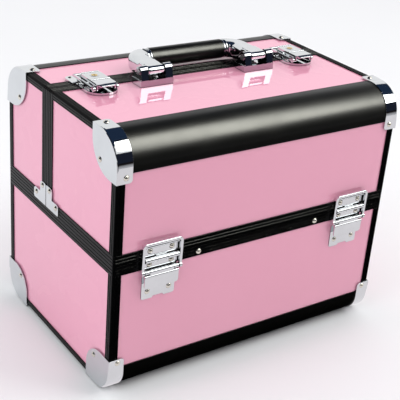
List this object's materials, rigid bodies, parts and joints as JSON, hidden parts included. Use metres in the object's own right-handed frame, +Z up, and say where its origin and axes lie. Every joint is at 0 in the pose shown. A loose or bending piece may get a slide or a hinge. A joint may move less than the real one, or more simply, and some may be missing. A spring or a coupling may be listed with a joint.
{
  "type": "vanity case",
  "caption": "Double-opening vanity case with pink panels, black aluminium edges, chrome corners, toggle locks, hinge latches, folding handle and cantilever trays.",
  "frame": {"origin": "centre of the bounding box at the level of the rubber feet, on the floor", "axes": "+X runs to the right along the front, the front with its two hinge latches faces -Y, +Z is up"},
  "size_m": [0.3586, 0.2526, 0.3089],
  "materials": {
    "pink_laminate": "high-gloss pink laminate on fibreboard",
    "black_lining": "matt black foam lining",
    "black_rail": "satin black anodised, ribbed",
    "black_round_profile": "satin black anodised, smooth",
    "rivet_steel": "nickel plated",
    "pin_steel": "plain steel",
    "foot_rubber": "matt",
    "key_brass": "polished",
    "black_grip": "glossy",
    "link_steel": "zinc plated",
    "tray_black": "fine-grained",
    "chrome": "mirror plated"
  },
  "bodies": {
    "base": {"base_boards": "pink_laminate", "base_lining": "black_lining", "base_rim_rails": "black_rail", "base_edge_rails": "black_rail", "base_round_profiles": "black_round_profile", "base_corner_caps": "chrome", "base_rivets": "rivet_steel", "latch_base_plates": "chrome", "latch_pins": "pin_steel", "arm_studs": "pin_steel", "rubber_feet": "foot_rubber"},
    "front_lid": {"front_lid_boards": "pink_laminate", "front_lid_lining": "black_lining", "front_lid_rim_rails": "black_rail", "front_lid_edge_rails": "black_rail", "front_lid_round_profile": "black_round_profile", "front_lid_corner_caps": "chrome", "front_lid_seam_plates": "chrome", "front_lid_rivets": "rivet_steel", "front_lid_pins": "pin_steel", "front_hinge_leaves": "chrome", "lock_housings": "chrome", "handle_brackets": "chrome"},
    "rear_lid": {"rear_lid_boards": "pink_laminate", "rear_lid_lining": "black_lining", "rear_lid_rim_rails": "black_rail", "rear_lid_edge_rails": "black_rail", "rear_lid_round_profile": "black_round_profile", "rear_lid_corner_caps": "chrome", "rear_lid_seam_plates": "chrome", "rear_lid_rivets": "rivet_steel", "rear_hinge_leaves": "chrome", "lock_strikes": "chrome"},
    "handle": {"handle_arms": "chrome", "handle_collars": "chrome", "handle_grip": "black_grip"},
    "latch_lever_front_left": {"latch_lever_front_left": "chrome"},
    "latch_loop_front_left": {"latch_loop_front_left": "chrome"},
    "latch_lever_front_right": {"latch_lever_front_right": "chrome"},
    "latch_loop_front_right": {"latch_loop_front_right": "chrome"},
    "latch_lever_rear_left": {"latch_lever_rear_left": "chrome"},
    "latch_loop_rear_left": {"latch_loop_rear_left": "chrome"},
    "latch_lever_rear_right": {"latch_lever_rear_right": "chrome"},
    "latch_loop_rear_right": {"latch_loop_rear_right": "chrome"},
    "lock_lever_left": {"lock_lever_left": "chrome", "lock_key_left": "key_brass"},
    "lock_bail_left": {"lock_bail_left": "chrome"},
    "lock_lever_right": {"lock_lever_right": "chrome", "lock_key_right": "key_brass"},
    "lock_bail_right": {"lock_bail_right": "chrome"},
    "front_arms_outer": {"front_arms_outer": "link_steel"},
    "front_arms_inner": {"front_arms_inner": "link_steel"},
    "tray_front_lower": {"tray_front_lower": "tray_black"},
    "tray_front_upper": {"tray_front_upper": "tray_black"},
    "rear_arms_outer": {"rear_arms_outer": "link_steel"},
    "rear_arms_inner": {"rear_arms_inner": "link_steel"},
    "tray_rear_lower": {"tray_rear_lower": "tray_black"},
    "tray_rear_upper": {"tray_rear_upper": "tray_black"}
  },
  "joints": [
    {"name": "front_lid_swing", "type": "hinge", "parent": "base", "child": "front_lid", "pos_m": [0, -0.1234, 0.154], "axis": [1, 0, 0], "range_deg": [0, 90]},
    {"name": "rear_lid_swing", "type": "hinge", "parent": "base", "child": "rear_lid", "pos_m": [0, 0.1234, 0.154], "axis": [-1, 0, 0], "range_deg": [0, 90]},
    {"name": "latch_lever_front_left_flip", "type": "hinge", "parent": "base", "child": "latch_lever_front_left", "pos_m": [-0.1235, -0.1236, 0.1407], "axis": [-1, 0, 0], "range_deg": [0, 100]},
    {"name": "latch_loop_front_left_turn", "type": "hinge", "parent": "base", "child": "latch_loop_front_left", "pos_m": [-0.1235, -0.1236, 0.1407], "axis": [1, 0, 0], "range_deg": [0, 64.8]},
    {"name": "latch_lever_front_right_flip", "type": "hinge", "parent": "base", "child": "latch_lever_front_right", "pos_m": [0.1235, -0.1236, 0.1407], "axis": [-1, 0, 0], "range_deg": [0, 100]},
    {"name": "latch_loop_front_right_turn", "type": "hinge", "parent": "base", "child": "latch_loop_front_right", "pos_m": [0.1235, -0.1236, 0.1407], "axis": [1, 0, 0], "range_deg": [0, 64.8]},
    {"name": "latch_lever_rear_left_flip", "type": "hinge", "parent": "base", "child": "latch_lever_rear_left", "pos_m": [-0.1235, 0.1236, 0.1407], "axis": [1, 0, 0], "range_deg": [0, 100]},
    {"name": "latch_loop_rear_left_turn", "type": "hinge", "parent": "base", "child": "latch_loop_rear_left", "pos_m": [-0.1235, 0.1236, 0.1407], "axis": [-1, 0, 0], "range_deg": [0, 64.8]},
    {"name": "latch_lever_rear_right_flip", "type": "hinge", "parent": "base", "child": "latch_lever_rear_right", "pos_m": [0.1235, 0.1236, 0.1407], "axis": [1, 0, 0], "range_deg": [0, 100]},
    {"name": "latch_loop_rear_right_turn", "type": "hinge", "parent": "base", "child": "latch_loop_rear_right", "pos_m": [0.1235, 0.1236, 0.1407], "axis": [-1, 0, 0], "range_deg": [0, 64.8]},
    {"name": "lock_lever_left_lift", "type": "hinge", "parent": "front_lid", "child": "lock_lever_left", "pos_m": [-0.128, 0.021, 0.2925], "axis": [-1, 0, 0], "range_deg": [0, 55]},
    {"name": "lock_bail_left_turn", "type": "hinge", "parent": "lock_lever_left", "child": "lock_bail_left", "pos_m": [-0.128, -0.007, 0.292], "axis": [-1, 0, 0], "range_deg": [-22, 0]},
    {"name": "lock_lever_right_lift", "type": "hinge", "parent": "front_lid", "child": "lock_lever_right", "pos_m": [0.128, 0.021, 0.2925], "axis": [-1, 0, 0], "range_deg": [0, 55]},
    {"name": "lock_bail_right_turn", "type": "hinge", "parent": "lock_lever_right", "child": "lock_bail_right", "pos_m": [0.128, -0.007, 0.292], "axis": [-1, 0, 0], "range_deg": [-22, 0]},
    {"name": "handle_raise", "type": "hinge", "parent": "front_lid", "child": "handle", "pos_m": [0, -0.001, 0.3012], "axis": [1, 0, 0], "range_deg": [0, 90]},
    {"name": "front_arms_outer_swing", "type": "hinge", "parent": "base", "child": "front_arms_outer", "pos_m": [0, -0.09202, 0.14], "axis": [1, 0, 0], "range_deg": [0, 67.5]},
    {"name": "front_arms_inner_swing", "type": "hinge", "parent": "base", "child": "front_arms_inner", "pos_m": [0, -0.06202, 0.14], "axis": [1, 0, 0], "range_deg": [0, 67.5]},
    {"name": "tray_front_lower_level", "type": "hinge", "parent": "front_arms_outer", "child": "tray_front_lower", "pos_m": [0, -0.06199, 0.192], "axis": [1, 0, 0], "range_deg": [-67.5, 0]},
    {"name": "tray_front_upper_level", "type": "hinge", "parent": "front_arms_outer", "child": "tray_front_upper", "pos_m": [0, -0.0389, 0.232], "axis": [1, 0, 0], "range_deg": [-67.5, 0]},
    {"name": "rear_arms_outer_swing", "type": "hinge", "parent": "base", "child": "rear_arms_outer", "pos_m": [0, 0.09202, 0.14], "axis": [-1, 0, 0], "range_deg": [0, 67.5]},
    {"name": "rear_arms_inner_swing", "type": "hinge", "parent": "base", "child": "rear_arms_inner", "pos_m": [0, 0.06202, 0.14], "axis": [-1, 0, 0], "range_deg": [0, 67.5]},
    {"name": "tray_rear_lower_level", "type": "hinge", "parent": "rear_arms_outer", "child": "tray_rear_lower", "pos_m": [0, 0.06199, 0.192], "axis": [-1, 0, 0], "range_deg": [-67.5, 0]},
    {"name": "tray_rear_upper_level", "type": "hinge", "parent": "rear_arms_outer", "child": "tray_rear_upper", "pos_m": [0, 0.0389, 0.232], "axis": [-1, 0, 0], "range_deg": [-67.5, 0]}
  ],
  "couplings": [
    {"joint": "rear_lid_swing", "follows": "front_lid_swing", "ratio": 1},
    {"joint": "latch_loop_front_left_turn", "follows": "front_lid_swing", "ratio": 0.72},
    {"joint": "latch_loop_front_right_turn", "follows": "front_lid_swing", "ratio": 0.72},
    {"joint": "latch_loop_rear_left_turn", "follows": "front_lid_swing", "ratio": 0.72},
    {"joint": "latch_loop_rear_right_turn", "follows": "front_lid_swing", "ratio": 0.72},
    {"joint": "lock_bail_left_turn", "follows": "lock_lever_left_lift", "ratio": -0.4},
    {"joint": "lock_bail_right_turn", "follows": "lock_lever_right_lift", "ratio": -0.4},
    {"joint": "front_arms_outer_swing", "follows": "front_lid_swing", "ratio": 0.75},
    {"joint": "front_arms_inner_swing", "follows": "front_lid_swing", "ratio": 0.75},
    {"joint": "tray_front_lower_level", "follows": "front_lid_swing", "ratio": -0.75},
    {"joint": "tray_front_upper_level", "follows": "front_lid_swing", "ratio": -0.75},
    {"joint": "rear_arms_outer_swing", "follows": "front_lid_swing", "ratio": 0.75},
    {"joint": "rear_arms_inner_swing", "follows": "front_lid_swing", "ratio": 0.75},
    {"joint": "tray_rear_lower_level", "follows": "front_lid_swing", "ratio": -0.75},
    {"joint": "tray_rear_upper_level", "follows": "front_lid_swing", "ratio": -0.75}
  ]
}
